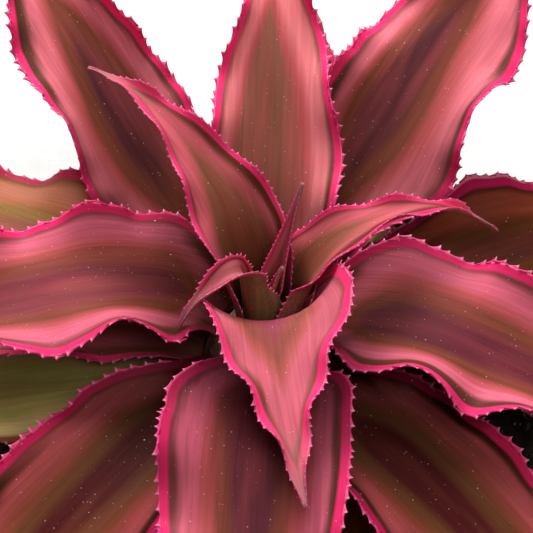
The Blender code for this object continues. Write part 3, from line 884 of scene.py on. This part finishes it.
def bearing_surface(name):
    """A plain copy of the ball's side and top, for things to be scattered on."""
    lowest, inner = BEARING
    side, top = BEARING_RINGS
    middle = BALL_EDGE * MIDDLE_OF_ROUND
    profile = [(ball_radius(height), height) for height in np.linspace(lowest, BALL_HEIGHT - BALL_EDGE, side)]
    profile += [(BALL_TOP_RADIUS - middle, BALL_HEIGHT - middle)]
    profile += [(radius, crown_height(radius))
                for radius in np.linspace(BALL_TOP_RADIUS - BALL_EDGE, inner, top)]
    shape = bmesh.new()
    join_rings(shape, [
        [shape.verts.new((radius * math.cos(turn) * MM, radius * math.sin(turn) * MM, height * MM))
         for turn in np.linspace(0, math.tau, BEARING_STEPS, endpoint=False)]
        for radius, height in profile])
    return mesh_of(name, shape)


LUMPS = [
    # piece, its material, gap, number per square metre, smallest, largest, fineness, seed
    ("peat_crumbs", "peat crumbs", 1.6, 260000, (1.2, 1.2, 1.0), (3.2, 2.8, 2.2), 1, 3),
    ("bark_bits", "composted bark", 6, 9000, (2.5, 1.6, 0.8), (8, 4.5, 2.0), 2, 11),
    ("perlite", "perlite", 9, 3000, (1.5, 1.5, 1.2), (3.4, 3.2, 2.8), 2, 23),
]


def lumps():
    """Crumbs, bark and perlite over the ball."""
    tree = crumb_tree()
    for name, material, apart, density, smallest, largest, fineness, seed in LUMPS:
        made = grow(name, bearing_surface(name), tree, {
            "Apart": apart * MM, "Density": float(density), "Smallest": [size * MM for size in smallest],
            "Largest": [size * MM for size in largest], "Fineness": fineness, "Seed": seed,
            "Material": earth_material(material)})
        made.data.shade_smooth()
        dressed(made, "potting_mix")


# Roots at the ball's surface; a pair is the least and the most
ROOTS = 90
ROOT_SEED = 5
ROOT_SIDES = 6
ROOT_TOP = (14, BALL_HEIGHT - 6)    # height where one comes to the surface
ROOT_RADIUS = (0.22, 0.6)
ROOT_HEADING = (-1, 1)  # its way at first, in radians from straight down
ROOT_STEPS = (16, 46)
ROOT_STEP = 1.4
ROOT_TAPER = 0.7        # share of its thickness that it loses to its tip
ROOT_LIFT = 0.2         # its middle above the ball's side
ROOT_BOB = 0.5          # how far it dips in and out of the mix
ROOT_BOB_TURN = 0.7     # and how fast, in radians a step
ROOT_MEMORY = 0.9       # share of its heading that it keeps at each step
ROOT_STRAY = 0.35       # and how far it strays from it, in radians
ROOT_END = 3            # no root goes lower


def root_lines():
    """Wandering lines down the ball's side, each with its thickness."""
    draw = np.random.default_rng(ROOT_SEED)
    places, thick, links = [], [], []
    for number in range(ROOTS):
        turn = draw.uniform(0, math.tau)
        height = draw.uniform(*ROOT_TOP)
        width = draw.uniform(*ROOT_RADIUS)
        heading = draw.uniform(*ROOT_HEADING)
        start = len(places)
        steps = int(draw.uniform(*ROOT_STEPS))
        for step in range(steps):
            radius = ball_radius(height) + ROOT_LIFT + ROOT_BOB * math.sin(step * ROOT_BOB_TURN + number)
            places.append((radius * math.cos(turn) * MM, radius * math.sin(turn) * MM, height * MM))
            thick.append(width * (1 - ROOT_TAPER * step / steps) * MM)
            heading = heading * ROOT_MEMORY + draw.normal(0, ROOT_STRAY)
            turn += ROOT_STEP * math.sin(heading) / radius
            height -= ROOT_STEP * abs(math.cos(heading))
            if height < ROOT_END:
                break
        links.extend((at, at + 1) for at in range(start, len(places) - 1))
    mesh = bpy.data.meshes.new("root_lines")
    mesh.from_pydata(places, links, [])
    store(mesh, "thick", thick)
    return mesh


def surface_roots(material):
    """The pale roots that run down the ball's side, as one mesh."""
    roots = grow("surface_roots", root_lines(), root_tree(), {"Sides": ROOT_SIDES, "Material": material})
    roots.data.shade_smooth()
    return dressed(roots, "stem_bark")


# ---- surroundings

CAMERA_AIM = Vector((0.4, 4.9, 103.4)) * MM
CAMERA_DISTANCE = 430 * MM
CAMERA_ELEVATION = math.radians(55)
CAMERA_LENS = 113
CAMERA_SENSOR = 36
CAMERA_NEAREST = 10 * MM

FLOOR_HALF_SIDE = 3     # metres
WORLD_LIGHT = 0.1
LIGHTS = [
    # name, place in metres, watts and width in metres
    ("key", (-0.15, 0.6, 0.75), 11.2, 0.6),
    ("fill", (0.2, -0.3, 1.0), 3.6, 0.6),
]


def facing(way):
    """The turn that points a camera or a light along a way."""
    return way.to_track_quat("-Z", "Y").to_euler()


def camera():
    """A long lens that looks down on the heart of the plant."""
    data = bpy.data.cameras.new("camera")
    data.lens = CAMERA_LENS
    data.sensor_width = CAMERA_SENSOR
    data.clip_start = CAMERA_NEAREST
    made = put("camera", data)
    away = Vector((0, -math.cos(CAMERA_ELEVATION), math.sin(CAMERA_ELEVATION)))
    made.location = CAMERA_AIM + away * CAMERA_DISTANCE
    made.rotation_euler = facing(-away)
    bpy.context.scene.camera = made


def area_light(name, place, power, size):
    """A soft box that looks at the heart of the plant."""
    data = bpy.data.lights.new(name, "AREA")
    data.energy = power
    data.shape = "DISK"
    data.size = size
    made = put(name, data)
    made.location = place
    made.rotation_euler = facing(CAMERA_AIM - Vector(place))


def surroundings():
    """Floor, soft light and camera."""
    shape = bmesh.new()
    bmesh.ops.create_grid(shape, x_segments=1, y_segments=1, size=FLOOR_HALF_SIDE)
    floor = put("floor", mesh_of("floor", shape))
    floor.data.materials.append(floor_material())

    world = bpy.data.worlds.new("studio")
    world.use_nodes = True
    fill(world.node_tree.nodes["Background"], {"Color": colour("#ffffff"), "Strength": WORLD_LIGHT})
    bpy.context.scene.world = world
    for light in LIGHTS:
        area_light(*light)
    camera()
    bpy.context.scene.view_settings.view_transform = "Standard"


def main():
    """Leaves with their teeth, the ball with what is on it, the stem's bark, and the surroundings."""
    skins = {name: leaf_material(name + " leaf skin", **finish) for name, finish in FINISHES.items()}
    undersides = {name: underside_material(name + " leaf underside", **finish)
                  for name, finish in FINISHES.items()}
    for index, leaf in enumerate(LEAVES):
        fine_leaf(index, leaf, skins, undersides)
    edge_teeth(tooth_material())
    fine_ball(earth_material("potting mix"))
    lumps()
    surface_roots(earth_material("root skin"))
    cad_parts["stem"].material_slots[0].material = earth_material("stem bark")
    surroundings()


main()
